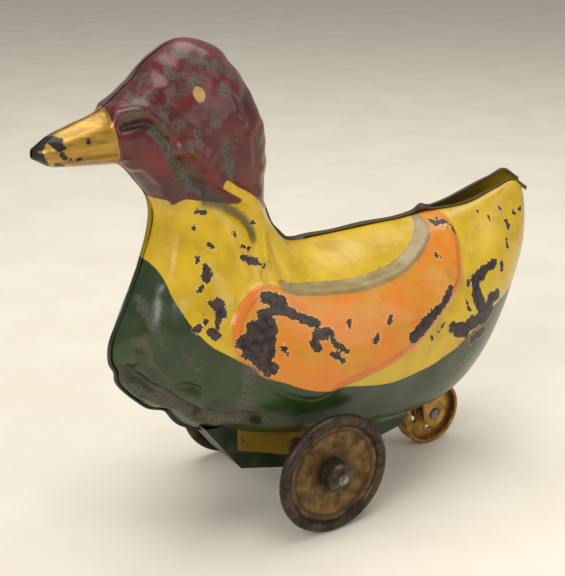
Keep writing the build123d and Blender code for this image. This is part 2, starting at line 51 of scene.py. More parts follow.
# ---------------------------------------------------------------- ribs of the pressed body
# Seam point at the top, seam point at the bottom, half-width, fullness towards each seam.
RIBS = [
    ((114.3, 119.5), (117.2, 104), 0.8, 0.60, 0.60),
    ((112.5, 120.5), (115.5, 103), 3.0, 0.60, 0.60),
    ((106, 124.5), (114.5, 88), 8.0, 0.65, 0.65),
    ((95, 122.5), (106, 67), 14.5, 0.70, 0.65),
    ((80, 118), (93, 47.5), 21.5, 0.75, 0.60),
    ((62, 114), (76, 31), 28.5, 0.75, 0.58),
    ((46, 112), (58, 23.8), 32.8, 0.75, 0.56),
    ((31, 111.7), (40, 22.8), 35.3, 0.75, 0.55),
    ((16, 111.3), (21, 24.4), 37.0, 0.73, 0.55),
    ((1, 111), (1, 26.5), 37.6, 0.72, 0.55),
    ((-10, 111), (-24, 30.5), 36.6, 0.68, 0.55),
    ((-15, 112.6), (-46, 36.5), 33.6, 0.64, 0.58),
    ((-18.5, 115.8), (-65, 45), 30.0, 0.60, 0.65),
    ((-21, 119), (-80, 57), 26.5, 0.58, 0.72),
    ((-22.8, 122), (-89.5, 69), 24.0, 0.56, 0.78),
    ((-24.2, 125), (-91, 82), 21.8, 0.54, 0.80),
    ((-25.4, 128.5), (-84.5, 97), 19.5, 0.52, 0.76),
    ((-26.2, 133), (-77, 114), 17.3, 0.50, 0.68),
    ((-26, 139.5), (-71.8, 130.5), 16.4, 0.50, 0.60),
    ((-25, 148), (-73.6, 138.5), 17.2, 0.50, 0.55),
    ((-26, 159.5), (-78, 145), 18.6, 0.50, 0.55),
    ((-32, 175), (-82, 150.2), 19.0, 0.52, 0.55),
    ((-43.5, 190), (-84.6, 152.2), 17.8, 0.55, 0.55),
    ((-58, 194.5), (-86.2, 152.8), 15.6, 0.55, 0.55),
    ((-72.5, 187.5), (-88, 153), 12.8, 0.53, 0.55),
    ((-83, 177.5), (-90.5, 153.2), 10.6, 0.50, 0.52),
    ((-91, 171.8), (-95.5, 153.5), 9.6, 0.50, 0.50),
    ((-102, 167.6), (-104.5, 154), 8.4, 0.50, 0.50),
    ((-110.5, 164.3), (-111.6, 155.2), 6.3, 0.50, 0.50),
    ((-115.3, 161.2), (-115.6, 157.6), 2.8, 0.50, 0.50),
    ((-116.4, 160.6), (-116.6, 158.2), 0.8, 0.50, 0.50),
]
SEAM_LIP = 1.8
FLANGE = 0.5
RIB_SPACING = 0.9       # mean distance between the ribs of the fine mesh
RIB_POINTS = 104        # quads along one fine rib

PAN_SIDE = [(-59, 44), (-43, 22.5), (-22, 17), (24, 17), (39, 20), (44, 27), (44, 37)]
PAN_HALF_WIDTH = 13.0
SLOT_X = (48.5, 83.5)
SLOT_HALF_WIDTH = 8.0
SLOT_TOP = 38.0
SHEET = 0.42            # thickness of the tin plate

WHEEL_HUB = 6.5         # radii on a front wheel, where its finishes change
WHEEL_RIM_FROM = 20.0
PATCH_X = (-44.5, 4)    # the pan's yellow patch: its ends, and its sloping lower edge
PATCH_SLOPE = -0.36
PATCH_HEIGHT = 15.0

CAMERA_AT = (-242.0, -359.4, 242.0)
CAMERA_TURN = 32.3      # degrees
CAMERA_DIP = 19.5
CAMERA_LENS = 68.75


def smoothstep(value, low, high):
    """A soft step from 0, where the value is low, to 1, where it is high."""
    t = np.clip((value - low) / (high - low), 0.0, 1.0)
    return t * t * (3 - 2 * t)


def fine_ribs():
    """The rib table, interpolated by a smooth curve through every column."""
    rows = np.array([[*top, *low, width, ft, fl] for top, low, width, ft, fl in RIBS], float)
    middle = (rows[:, 0:2] + rows[:, 2:4]) / 2
    gap = (np.linalg.norm(np.diff(rows[:, 0:2], axis=0), axis=1)
           + np.linalg.norm(np.diff(rows[:, 2:4], axis=0), axis=1)
           + 2 * np.linalg.norm(np.diff(middle, axis=0), axis=1)) / 4
    knots = np.concatenate([[0], np.cumsum(gap)])
    slopes = np.gradient(rows, knots, axis=0)
    count = int(knots[-1] / RIB_SPACING)
    places = np.linspace(0, knots[-1], count)
    span = np.clip(np.searchsorted(knots, places, side="right") - 1, 0, len(knots) - 2)
    width = (knots[span + 1] - knots[span])[:, None]
    t = ((places - knots[span])[:, None]) / width
    start, end = rows[span], rows[span + 1]
    return ((2 * t**3 - 3 * t**2 + 1) * start + (t**3 - 2 * t**2 + t) * width * slopes[span]
            + (3 * t**2 - 2 * t**3) * end + (t**3 - t**2) * width * slopes[span + 1])


def rib_grid():
    """Points of the left half as an array: ribs from tail to beak, points from top to bottom seam."""
    ribs = fine_ribs()
    top, low = ribs[:, 0:2], ribs[:, 2:4]
    length = np.linalg.norm(top - low, axis=1)
    along = (top - low) / length[:, None]
    middle = (top + low) / 2
    angle = np.linspace(0, math.pi, RIB_POINTS + 1)
    blend = smoothstep(angle[None, :], math.pi / 2 - 0.5, math.pi / 2 + 0.5)
    fullness = ribs[:, 5:6] * (1 - blend) + ribs[:, 6:7] * blend
    bulge = (ribs[:, 4:5] - FLANGE) * np.maximum(np.sin(angle), 0)[None, :] ** (2 * fullness)
    reach = length[:, None] / 2 * np.cos(angle)[None, :]
    grid = np.zeros((len(ribs), RIB_POINTS + 1, 3))
    grid[:, :, 0] = middle[:, 0:1] + along[:, 0:1] * reach
    grid[:, :, 1] = -FLANGE - bulge
    grid[:, :, 2] = middle[:, 1:2] + along[:, 1:2] * reach
    return grid, along


def grid_normals(grid):
    """Outward unit normals of the left half's grid."""
    normal = np.cross(np.gradient(grid, axis=0), np.gradient(grid, axis=1))
    normal /= np.linalg.norm(normal, axis=2, keepdims=True) + 1e-9
    flip = np.where(normal[:, RIB_POINTS // 2, 1] > 0, -1.0, 1.0)
    return normal * flip[:, None, None]


# ---------------------------------------------------------------- printed colours and wear, side view (x, z)
GREEN = [(-90, 122), (-76, 114.5), (-72, 103), (-68, 93), (-62, 85), (-56, 80.5), (-49, 76), (-44, 71),
         (-35, 67), (-28, 63.5), (-20, 61), (-7, 59.5), (10, 56), (19, 55.5), (34, 57), (45, 60), (54, 62.5),
         (66, 68), (80, 73), (130, 80)]
GREEN_CORNERS = [(130, -10), (-140, -10), (-140, 122)]
WING = [
    (-44, 103), (-37, 104), (-22, 99.5), (1, 97), (15, 97.5), (26.3, 98.8), (36, 101.7), (44, 105.2),
    (51, 110.3), (54, 118), (62, 118), (64.2, 110.5), (63.6, 103), (60.6, 96), (56.8, 89), (49, 83),
    (40, 78.4), (31, 72.6), (23.3, 69), (11, 65.1), (-0.7, 62.6), (-12, 60.5), (-20, 57), (-29, 59),
    (-41, 66), (-49, 74), (-54, 85), (-52, 95),
]
WING_TOP = [(-30, 102), (-22, 99.5), (1, 97), (15, 97.5), (26.3, 98.8), (36, 101.7), (44, 105.2),
            (51, 110.3), (54, 118)]
HEAD = [(-95, 139), (-72, 139), (-69, 137), (-65, 139), (-60, 138), (-53, 136.5), (-46, 135.5),
        (-44, 137), (-48, 140), (-52, 143), (-50, 145), (-45, 141.5), (-39, 138), (-33, 133),
        (-28, 129.5), (-5, 129)]
HEAD_CORNERS = [(-5, 205), (-140, 205), (-140, 139)]
BEAK = [(-91, 182), (-89.5, 173), (-89.3, 168), (-88.5, 162), (-87, 157), (-85.5, 148)]
BEAK_CORNERS = [(-140, 148), (-140, 182)]
BEAK_TIP = [(-111.5, 172), (-110.5, 164), (-112.5, 162), (-113.5, 159.5), (-111, 155), (-110.5, 150)]
BEAK_TIP_CORNERS = [(-140, 150), (-140, 172)]
BEAK_BLOTS = [
    (-110, 163, -108.5, 162.5, 1.9), (-109, 155.5, -106, 154, 0.9), (-108, 159.5, -107, 158.5, 0.8),
    (-99, 163.5, -99, 163, 0.7), (-105, 157.5, -105, 157, 0.6), (-102.5, 157.5, -102, 157.5, 0.6),
]
EYE_AT = (-60, 177)
EYE_SIZE = (2.2, 2.7)

# Bare spots: a stroke from one point to another, and its half-width.
WING_CHIPS = [
    (-39, 100, -33, 98, 2.6), (-42, 95, -36, 95, 1.7), (-36, 96, -21, 88, 1.9), (-46, 90, -48, 81, 3.0),
    (-41, 90, -43, 80, 4.0), (-45, 78, -41, 74, 3.1), (-51, 86, -50, 83, 2.2), (-36, 82, -34, 79, 1.1),
    (-22, 84, -16, 84, 1.8), (-24, 82, -22, 79, 1.7), (-16, 81, -10, 76, 1.2), (-16, 76, -12, 73, 1.2),
    (-7, 85, -7, 86, 1.2), (12, 83, 13, 84, 1.4), (4, 77, 6, 79, 1.5), (24, 75, 33, 79, 2.9),
    (31, 79, 43, 83, 2.1), (43, 83, 49, 88, 1.5), (56, 110, 61, 110, 1.0), (63, 108, 63, 107, 1.3),
    (48, 100, 49, 100, 1.0),
]
TAIL_CHIPS = [
    (82, 91, 72, 89, 2), (72, 89, 66, 87, 2.4), (66, 87, 66, 82, 2.6), (66, 82, 69, 75, 3.4),
    (76, 77.5, 82, 77, 2.6), (75, 73, 70, 71, 4.2), (70, 71, 60, 70, 3.4), (60, 70, 48, 72, 2.2),
    (51, 69, 58, 66.5, 2), (71, 64, 63, 62.5, 2.2), (59, 80, 60, 77, 1.3), (62, 88, 62, 87, 1),
    (87, 90, 87, 87, 1.2), (94, 106, 95, 104, 1.2), (92, 99, 92, 95.5, 1), (100, 109, 101, 108.5, 1),
    (105, 109, 106, 109.5, 1.1), (92, 112.5, 92, 112, 0.7), (81, 112, 81, 111.5, 0.6),
    (85, 109.5, 85, 109, 0.7), (43.5, 75, 40, 72, 0.6), (36, 71, 36, 70.5, 0.8),
]
NECK_CHIPS = [
    (-60, 134, -58, 133.5, 1), (-62.5, 127.5, -61.5, 128, 0.8), (-57, 121, -56, 120, 0.9),
    (-47.5, 124.5, -47, 124, 0.6), (-62, 117, -62, 115, 0.8), (-60, 113.5, -60, 109, 1.6),
    (-62, 107, -63, 105.5, 0.9), (-61, 101, -59, 98, 0.8), (-57, 100, -57, 96, 2), (-58, 95, -59, 91.5, 1),
    (-61.5, 90, -59.5, 88.5, 1.9), (-63, 94, -63, 93.5, 1.1), (-66.5, 91, -65, 92, 1.2),
    (-44, 119, -41, 117.5, 0.9), (-45.5, 115.5, -36, 110.5, 1.2), (-37.5, 126.5, -37, 126, 0.7),
]
FAR_CHIPS = [
    (-38, 92, -30, 84, 2.8), (-30, 84, -24, 86, 1.8), (-8, 74, 2, 70, 1.6), (14, 88, 24, 92, 1.8),
    (38, 82, 46, 90, 2.6), (58, 80, 66, 88, 3.0), (74, 92, 80, 98, 1.8), (86, 106, 90, 108, 1.4),
    (-60, 104, -57, 98, 1.8), (-64, 120, -62, 117, 1.1), (-50, 126, -47, 124, 0.9), (-2, 90, 0, 91, 1.2),
    (66, 72, 72, 80, 2.6), (20, 62, 24, 62, 1.2),
]
SCUFFS = [
    (-62, 190, -54, 187, 2.6), (-52, 187, -43, 181, 3), (-59, 182, -64, 177, 2.6), (-76, 179, -76, 178, 2),
    (-82.5, 176, -82, 176, 2.2), (-87.5, 171, -81.5, 171.5, 2.4), (-74, 173.5, -73, 172, 2.2),
    (-67, 170, -68.5, 167.5, 2.2), (-63, 165, -62.5, 161, 2), (-55, 170, -55, 167, 2.2),
    (-51, 158.5, -49, 148.5, 3.4), (-45.5, 163, -44.5, 161, 1.8), (-75.5, 166.5, -71, 157.5, 3),
    (-71, 155.5, -64, 145.5, 3.4), (-70, 160, -64.5, 158.5, 2), (-50, 177.5, -47, 177, 2.6),
    (-69, 186.5, -67, 184, 2), (-76.5, 182, -76, 181, 2), (-36.5, 161, -36, 157.5, 1.6),
    (-52, 141, -46, 136.5, 1.2), (-81, 101, -79, 85, 2), (-78, 62, -63, 53.5, 5), (-63, 53.5, -50, 47.5, 4),
    (-84, 86, -82.5, 80.5, 2.5), (-48.5, 74, -47.5, 48.5, 3.5), (-88.5, 67, -81, 64, 3),
    (-72, 83.5, -67, 75.5, 1.5), (60, 62, 50, 48, 5), (72, 74, 64, 60, 5), (-40, 50, 10, 38, 3),
]

# Folds beaten into the head, neck and breast: the line, its height (a valley is negative), its half-width.
FOLDS = [
    ([(-87, 172), (-81, 173), (-77, 171), (-73, 165)], 1.8, 2.2),
    ([(-86, 167), (-80, 168), (-76, 166), (-72, 159), (-66, 147), (-59, 142)], -2.6, 2.4),
    ([(-70, 157.5), (-65, 159), (-59, 154), (-54, 145), (-44.5, 138), (-37, 133), (-33, 124.5),
      (-34, 118), (-35, 111.5)], 2.0, 2.3),
    ([(-64.5, 152), (-56, 144.5), (-51, 140.5)], -1.6, 3.0),
    ([(-56, 137.5), (-46.5, 132.5), (-39.5, 126), (-37, 120)], -2.0, 2.8),
    ([(-82.5, 151.5), (-78, 152), (-73, 146), (-71, 142.5)], 1.0, 1.6),
    ([(-51, 158.5), (-49, 148.5)], -1.3, 3.0),
    ([(-47.5, 175), (-44, 170.5), (-43, 166)], 0.9, 2.0),
    ([(-71, 184), (-68, 181), (-69, 177)], -0.8, 3.0),
    ([(-35, 110), (-37, 107), (-35, 103.5)], -0.7, 1.0),
    ([(-68.5, 138.5), (-65, 132), (-67.5, 120.5), (-71.5, 108)], 0.9, 2.4),
    ([(-59, 138), (-61, 128.5), (-62.5, 120)], -0.7, 4.0),
    ([(-50.5, 125), (-48, 119), (-45, 108.5)], 0.8, 2.6),
    ([(-57, 121.5), (-54, 108.5), (-50, 100)], -0.7, 3.5),
    ([(-75, 105), (-77.5, 97.5), (-80, 90)], 0.9, 2.6),
    ([(-46, 170), (-41, 160), (-40, 150)], 0.8, 2.0),
    ([(-30, 118), (-28, 104)], -1.0, 2.2),
    ([(-90, 74), (-82, 67), (-70, 58), (-58, 50)], -3.2, 2.6),
    ([(-88, 66), (-76, 60), (-66, 52)], 2.0, 2.2),
    ([(-84, 84), (-80, 74), (-74, 68), (-66, 66)], -1.8, 2.0),
    ([(-66, 56), (-56, 50), (-46, 50), (-38, 46)], -2.2, 1.8),
    ([(-80, 78), (-72, 66), (-62, 60)], 1.2, 2.4),
    ([(-58, 62), (-48, 52), (-36, 46)], -1.2, 3.4),
    ([(-50, 44), (-30, 38), (-8, 34)], -0.8, 3.0),
    ([(66, 98), (76, 92), (84, 86)], -0.7, 5.0),
]

DENTS = [(-85, 75, 2.8, 3), (-60, 51, 1.6, 3.2), (-66, 183, 1.0, 6), (-38, 172, 1.4, 5), (-52, 178, 0.8, 5),
         (-70, 100, 0.8, 7), (-46, 88, 0.6, 6), (8, 44, 1.0, 9), (30, 50, 0.8, 8), (76, 104, 0.8, 7),
         (-12, 70, 0.5, 8)]
# Places where the whole outline is knocked in: centre, depth, half-width.
OUTLINE_DENTS = [(-71, 50, 3.0, 5.5), (-91, 72, 1.3, 2.6), (-38, 186, 1.2, 4.0), (-77, 182, 1.0, 4.0)]
WING_RISE = 2.2
FEATHER_RISE = 0.35
FEATHER_PITCH = 3.4
BEAK_STEP = 0.9             # how far the beak is set below the face
RIGHT_SHARE = 0.6           # how deep the right half's folds are, against the left's
HEAD_FROM = (132, 142)      # heights over which the neck's smooth sheet gives way to the head's
BREAST_X = (42, 62)         # the crumpled breast: from where, and up to what height
BREAST_TOP = (66, 84)
HEAD_RIPPLES = ((0.55, 9), (0.25, 4.5))     # height and size of the coarse and the fine ripples
BREAST_RIPPLES = ((0.9, 8), (0.45, 3.7))
BODY_RIPPLE = (0.18, 14)
HEAD_LIP_FOLDED = 0.72      # how much of the lip is folded flat round the head and the beak
LIP_FOLDED_FROM = (128, 142)
LIP_WAVE = 0.12
BACK_TAB = 0.9              # the small tab left standing on the back's lip
BACK_TAB_X = 57
TAIL_GAP = (4.5, 3.2)       # how far the left half has sprung away at the tail: sideways, down


def smooth_line(points, closed=False, steps=6):
    """Points of a smooth curve through the given ones."""
    points = np.array(points, float)
    if closed:
        padded = np.concatenate([points[-1:], points, points[:2]])
    else:
        padded = np.concatenate([2 * points[:1] - points[1:2], points, 2 * points[-1:] - points[-2:-1]])
    result = []
    for a, b, c, d in zip(padded, padded[1:], padded[2:], padded[3:]):
        for t in np.arange(steps) / steps:
            result.append(b + 0.5 * t * (c - a + t * (2 * a - 5 * b + 4 * c - d
                                                      + t * (3 * (b - c) + d - a))))
    if not closed:
        result.append(points[-1])
    return np.array(result)


def line_distance(x, z, points, closed=False):
    """Distance from each point to a chain of straight pieces."""
    ends = np.roll(points, -1, axis=0) if closed else points[1:]
    nearest = np.full(np.shape(x), 1e9)
    for (x0, z0), (x1, z1) in zip(points, ends):
        dx, dz = x1 - x0, z1 - z0
        t = np.clip(((x - x0) * dx + (z - z0) * dz) / (dx * dx + dz * dz + 1e-12), 0, 1)
        nearest = np.minimum(nearest, np.hypot(x - x0 - t * dx, z - z0 - t * dz))
    return nearest


def depth_inside(x, z, outline):
    """Distance to the outline, positive inside it."""
    distance = line_distance(x, z, outline, closed=True)
    inside = inside_polygon(x, z, [tuple(p) for p in outline])
    return np.where(inside, distance, -distance)


def zone(x, z, line, corners):
    """Depth inside the zone that a curve and a few far corners enclose."""
    return depth_inside(x, z, np.concatenate([smooth_line(line), np.array(corners, float)]))


def strokes(x, z, marks):
    """Depth inside the widest of the given strokes."""
    depth = np.full(np.shape(x), -50.0)
    for x0, z0, x1, z1, half in marks:
        depth = np.maximum(depth, half - line_distance(x, z, np.array([(x0, z0), (x1, z1)], float)))
    return depth


def ripple(x, z, size):
    """A gentle irregular wave, between -1 and 1, with waves of about the given size."""
    a, b = x / size, z / size
    return (np.sin(2.1 * a + 1.3 * np.sin(1.7 * b + 0.6)) * np.cos(1.9 * b + 1.1 * np.sin(1.3 * a + 2.0))
            + 0.5 * np.sin(3.7 * a - 2.9 * b + 0.7) + 0.3 * np.cos(5.3 * a + 4.1 * b)) / 1.8


def fold_height(x, z):
    """Height in millimetres of the folds and dents of the pressed and battered sheet."""
    height = np.zeros(np.shape(x))
    for line, rise, half in FOLDS:
        distance = line_distance(x, z, smooth_line(line))
        height += rise * np.exp(-(distance / half) ** 2)
    for at_x, at_z, depth, half in DENTS:
        height -= depth * np.exp(-((x - at_x) ** 2 + (z - at_z) ** 2) / half ** 2)
    head = smoothstep(z, *HEAD_FROM)
    breast = smoothstep(-x, *BREAST_X) * (1 - smoothstep(z, *BREAST_TOP))
    for share, ((rise, size), (fine_rise, fine_size)) in ((head, HEAD_RIPPLES), (breast, BREAST_RIPPLES)):
        height += share * (rise * ripple(x, z, size) + fine_rise * ripple(z, x, fine_size))
    height += (1 - head) * (1 - breast) * BODY_RIPPLE[0] * ripple(x, z, BODY_RIPPLE[1])
    return height


def battered(grid, normal, side):
    """The left half's grid with its wing, its folds and its knocks."""
    x, z = grid[:, :, 0].copy(), grid[:, :, 2].copy()
    away = smoothstep(-grid[:, :, 1], 0.8, 6)
    wing = depth_inside(x, z, smooth_line(WING, closed=True))
    height = WING_RISE * smoothstep(wing, -1.6, 2.2) * smoothstep(-grid[:, :, 1], 2, 13)
    feathers = FEATHER_RISE * np.sin((z + 0.35 * x) / FEATHER_PITCH) * smoothstep(wing, 3, 9)
    height += feathers * smoothstep(x, -25, 0)
    beak = zone(x, z, BEAK, BEAK_CORNERS)
    handed = 1.0 if side < 0 else RIGHT_SHARE
    height += handed * away * fold_height(x, z) * smoothstep(-beak, -0.5, 1.5)
    height -= BEAK_STEP * smoothstep(beak, -0.4, 0.6) * away
    grid = grid + normal * height[:, :, None]
    flat = normal.copy()
    flat[:, :, 1] = 0
    flat /= np.linalg.norm(flat, axis=2, keepdims=True) + 1e-9
    knock = np.zeros(x.shape)
    for at_x, at_z, depth, half in OUTLINE_DENTS:
        knock += depth * np.exp(-((x - at_x) ** 2 + (z - at_z) ** 2) / half ** 2)
    grid -= flat * knock[:, :, None]
    if side < 0:
        rising = np.linspace(0, 1, RIB_POINTS + 1)[None, :]
        sprung = smoothstep(x, 52, 84) * (1 - smoothstep(rising, 0.0, 0.32)) * smoothstep(z, 80, 100)
        grid[:, :, 1] -= TAIL_GAP[0] * sprung
        grid[:, :, 2] -= TAIL_GAP[1] * sprung
    return grid


def add_field(obj, name, values):
    obj.data.attributes.new(name, "FLOAT", "POINT").data.foreach_set("value", values.astype(np.float32))


def paint_fields(obj, side, lip):
    """Stores, at every vertex, how deep it lies inside each printed zone and bare spot."""
    count = len(obj.data.vertices)
    place = np.empty(count * 3)
    obj.data.vertices.foreach_get("co", place)
    x, z = place[0::3] / MM, place[2::3] / MM
    add_field(obj, "green", zone(x, z, GREEN, GREEN_CORNERS))
    add_field(obj, "wing", depth_inside(x, z, smooth_line(WING, closed=True)))
    # distance to the wing's top edge, where the band of painted shade lies
    add_field(obj, "shaded_band", line_distance(x, z, smooth_line(WING_TOP)))
    add_field(obj, "head", zone(x, z, HEAD, HEAD_CORNERS))
    add_field(obj, "beak", zone(x, z, BEAK, BEAK_CORNERS))
    add_field(obj, "tip", np.maximum(zone(x, z, BEAK_TIP, BEAK_TIP_CORNERS), strokes(x, z, BEAK_BLOTS)))
    eye = 1 - np.hypot((x - EYE_AT[0]) / EYE_SIZE[0], (z - EYE_AT[1]) / EYE_SIZE[1])
    add_field(obj, "eye", eye * EYE_SIZE[0])
    chips = WING_CHIPS + TAIL_CHIPS + NECK_CHIPS if side < 0 else FAR_CHIPS
    add_field(obj, "chips", strokes(x, z, chips))
    add_field(obj, "scuffs", strokes(x, z, SCUFFS))
    # how deep each fold valley is, for the painted shade laid in it
    add_field(obj, "valley", np.clip(-fold_height(x, z), 0, 3))
    add_field(obj, "lip", lip)


# ---------------------------------------------------------------- mesh helpers
def mesh_object(name, vertices, faces):
    mesh = bpy.data.meshes.new(name)
    mesh.from_pydata([tuple(v) for v in vertices], [], faces)
    mesh.validate()
    mesh.update()
    obj = bpy.data.objects.new(name, mesh)
    bpy.context.scene.collection.objects.link(obj)
    mesh.polygons.foreach_set("use_smooth", [True] * len(mesh.polygons))
    return obj


def apply_modifiers(obj):
    """The object with its modifiers turned into mesh."""
    graph = bpy.context.evaluated_depsgraph_get()
    baked = bpy.data.meshes.new_from_object(obj.evaluated_get(graph))
    obj.modifiers.clear()
    obj.data = baked
    return obj


def shell_object(name, side):
    """One pressed half: its ribs, its seam lip and its pressed and battered details."""
    grid, along = rib_grid()
    grid = battered(grid, grid_normals(grid), side)
    rows = len(grid)
    folded = smoothstep(grid[:, [0, -1], 2], *LIP_FOLDED_FROM)
    height = SEAM_LIP * (1 - HEAD_LIP_FOLDED * folded)
    height *= 1 + LIP_WAVE * np.sin(np.arange(rows) * 0.17)[:, None]
    height[:, 0] *= 1 + BACK_TAB * np.exp(-((grid[:, 0, 0] - BACK_TAB_X) / 3) ** 2) * (1 - folded[:, 0])
    lip = np.zeros((rows, 2, 3))
    lip[:, :, 0] = along[:, 0:1] * height
    lip[:, :, 2] = along[:, 1:2] * height
    grid = np.concatenate([grid[:, :1] + lip[:, :1], grid, grid[:, -1:] - lip[:, 1:]], axis=1)
    columns = grid.shape[1]
    # How near to black the lip is coloured: partly the dark bare flange of the joint, partly painted shade
    # of the sheet edges in the seam; little where the lip is folded flat on the head.
    on_lip = np.zeros((rows, columns))
    on_lip[:, 0:2] = 1 - 0.9 * folded[:, :1]
    on_lip[:, -2:] = 0.55
    grid[:, :, 1] *= -side
    faces = []
    for i in range(rows - 1):
        for j in range(columns - 1):
            a = i * columns + j
            quad = (a, a + 1, a + columns + 1, a + columns)
            faces.append(quad if side < 0 else quad[::-1])
    obj = mesh_object(name, grid.reshape(-1, 3) * MM, faces)
    paint_fields(obj, side, on_lip.reshape(-1))
    cut_openings(obj, side)
    sheet = obj.modifiers.new("sheet", "SOLIDIFY")
    sheet.thickness = SHEET * MM
    sheet.offset = -1
    sheet.material_offset = 1
    sheet.material_offset_rim = 1
    return apply_modifiers(obj)


def inside_polygon(x, z, polygon):
    """Whether each point lies in a closed polygon of (x, z) points."""
    x, z = np.asarray(x, float), np.asarray(z, float)
    inside = np.zeros(x.shape, bool)
    for (x0, z0), (x1, z1) in zip(polygon, polygon[1:] + polygon[:1]):
        crosses = (z0 > z) != (z1 > z)
        with np.errstate(divide="ignore", invalid="ignore"):
            at = (x1 - x0) * (z - z0) / (z1 - z0 if z1 != z0 else 1e-9) + x0
        inside ^= crosses & (x < at)
    return inside


def cut_openings(obj, side):
    """Cuts the belly openings for the pan and the rear wheel along clean edges."""
    bm = bmesh.new()
    bm.from_mesh(obj.data)
    front = Vector((PAN_SIDE[0][0], 0, PAN_SIDE[0][1]))
    slope = Vector((PAN_SIDE[1][0], 0, PAN_SIDE[1][1])) - front
    planes = [((0, side * PAN_HALF_WIDTH, 0), (0, 1, 0)), ((PAN_SIDE[-1][0], 0, 0), (1, 0, 0)),
              (front, (slope.z, 0, -slope.x)), ((0, side * SLOT_HALF_WIDTH, 0), (0, 1, 0)),
              ((SLOT_X[0], 0, 0), (1, 0, 0)), ((SLOT_X[1], 0, 0), (1, 0, 0)), ((0, 0, SLOT_TOP), (0, 0, 1))]
    for point, normal in planes:
        near = [f for f in bm.faces if f.calc_center_median().z < 0.05
                and abs(f.calc_center_median().y) < 0.02]
        near_edges = {e for f in near for e in f.edges}
        near_verts = {v for f in near for v in f.verts}
        bmesh.ops.bisect_plane(bm, geom=list(near) + list(near_edges) + list(near_verts),
                               plane_co=Vector(point) * MM, plane_no=normal, dist=1e-6)
    doomed = []
    for face in bm.faces:
        x, y, z = face.calc_center_median() / MM
        in_pan = abs(y) < PAN_HALF_WIDTH and bool(inside_polygon([x], [z], PAN_SIDE)[0])
        in_slot = abs(y) < SLOT_HALF_WIDTH and SLOT_X[0] < x < SLOT_X[1] and z < SLOT_TOP
        if in_pan or in_slot:
            doomed.append(face)
    bmesh.ops.delete(bm, geom=doomed, context="FACES")
    bm.to_mesh(obj.data)
    bm.free()


# ---------------------------------------------------------------- materials
def srgb(red, green, blue):
    """A colour given as 0-255 screen values."""
    return tuple(((c / 255 + 0.055) / 1.055) ** 2.4 if c > 10 else c / 255 / 12.92
                 for c in (red, green, blue)) + (1.0,)


class Finish:
    """A node material with one surface shader, built up by short calls."""

    def __init__(self, name):
        self.material = bpy.data.materials.new(name)
        self.material.use_nodes = True
        self.tree = self.material.node_tree
        self.shader = self.tree.nodes["Principled BSDF"]
        self.where = self.add("ShaderNodeTexCoord").outputs["Object"]

    def add(self, kind):
        return self.tree.nodes.new(kind)

    def put(self, socket, value):
        if isinstance(value, bpy.types.NodeSocket):
            self.tree.links.new(value, socket)
        else:
            socket.default_value = value

    def field(self, name):
        """A number stored at the vertices."""
        node = self.add("ShaderNodeAttribute")
        node.attribute_name = name
        return node.outputs["Fac"]

    def noise(self, size, detail=4.0, roughness=0.55, stretch=(1, 1, 1), offset=0.0):
        """Cloudy noise, about 0 to 1, with features of the given size in millimetres."""
        mapping = self.add("ShaderNodeMapping")
        self.put(mapping.inputs["Vector"], self.where)
        mapping.inputs["Scale"].default_value = tuple(1 / (size * MM * s) for s in stretch)
        mapping.inputs["Location"].default_value = (offset, offset * 0.7, offset * 1.3)
        node = self.add("ShaderNodeTexNoise")
        self.put(node.inputs["Vector"], mapping.outputs["Vector"])
        node.inputs["Scale"].default_value = 1.0
        node.inputs["Detail"].default_value = detail
        node.inputs["Roughness"].default_value = roughness
        return node.outputs["Fac"]

    def math(self, operation, a, b=0.0, c=0.0):
        node = self.add("ShaderNodeMath")
        node.operation = operation
        for socket, value in zip(node.inputs, (a, b, c)):
            self.put(socket, value)
        return node.outputs[0]

    def plus(self, a, b):
        return self.math("ADD", a, b)

    def times(self, a, b):
        return self.math("MULTIPLY", a, b)

    def swing(self, noise, width):
        """Noise centred on zero, as wide as given."""
        return self.times(self.math("SUBTRACT", noise, 0.5), width)

    def step(self, value, low, high, start=0.0, end=1.0):
        """A soft step from start, where the value is low, to end, where it is high."""
        node = self.add("ShaderNodeMapRange")
        node.interpolation_type = "SMOOTHSTEP"
        self.put(node.inputs["Value"], value)
        for socket, number in (("From Min", low), ("From Max", high), ("To Min", start), ("To Max", end)):
            node.inputs[socket].default_value = number
        return node.outputs["Result"]

    def blend(self, factor, a, b):
        node = self.add("ShaderNodeMix")
        node.data_type = "RGBA"
        self.put(node.inputs[0], factor)
        self.put(node.inputs[6], a)
        self.put(node.inputs[7], b)
        return node.outputs[2]

    def bump(self, height, depth, after=None):
        node = self.add("ShaderNodeBump")
        self.put(node.inputs["Height"], height)
        node.inputs["Distance"].default_value = depth * MM
        node.inputs["Strength"].default_value = 1.0
        if after is not None:
            self.put(node.inputs["Normal"], after)
        return node.outputs["Normal"]

    def place(self):
        """The X and Z of the shaded point, in millimetres."""
        apart = self.add("ShaderNodeSeparateXYZ")
        self.put(apart.inputs[0], self.where)
        return self.math("DIVIDE", apart.outputs["X"], MM), self.math("DIVIDE", apart.outputs["Z"], MM)

    def radius(self, centre):
        """Distance from an axle along Y, in millimetres."""
        x, z = self.place()
        across = self.math("SUBTRACT", x, centre[0] / MM)
        up = self.math("SUBTRACT", z, centre[2] / MM)
        return self.math("SQRT", self.plus(self.times(across, across), self.times(up, up)))

    def finish(self, colour, roughness, metallic=0.0, normal=None, **fixed):
        self.put(self.shader.inputs["Base Color"], colour)
        self.put(self.shader.inputs["Roughness"], roughness)
        self.put(self.shader.inputs["Metallic"], metallic)
        if normal is not None:
            self.put(self.shader.inputs["Normal"], normal)
        for socket, value in fixed.items():
            self.shader.inputs[socket.replace("_", " ").title()].default_value = value
        return self.material


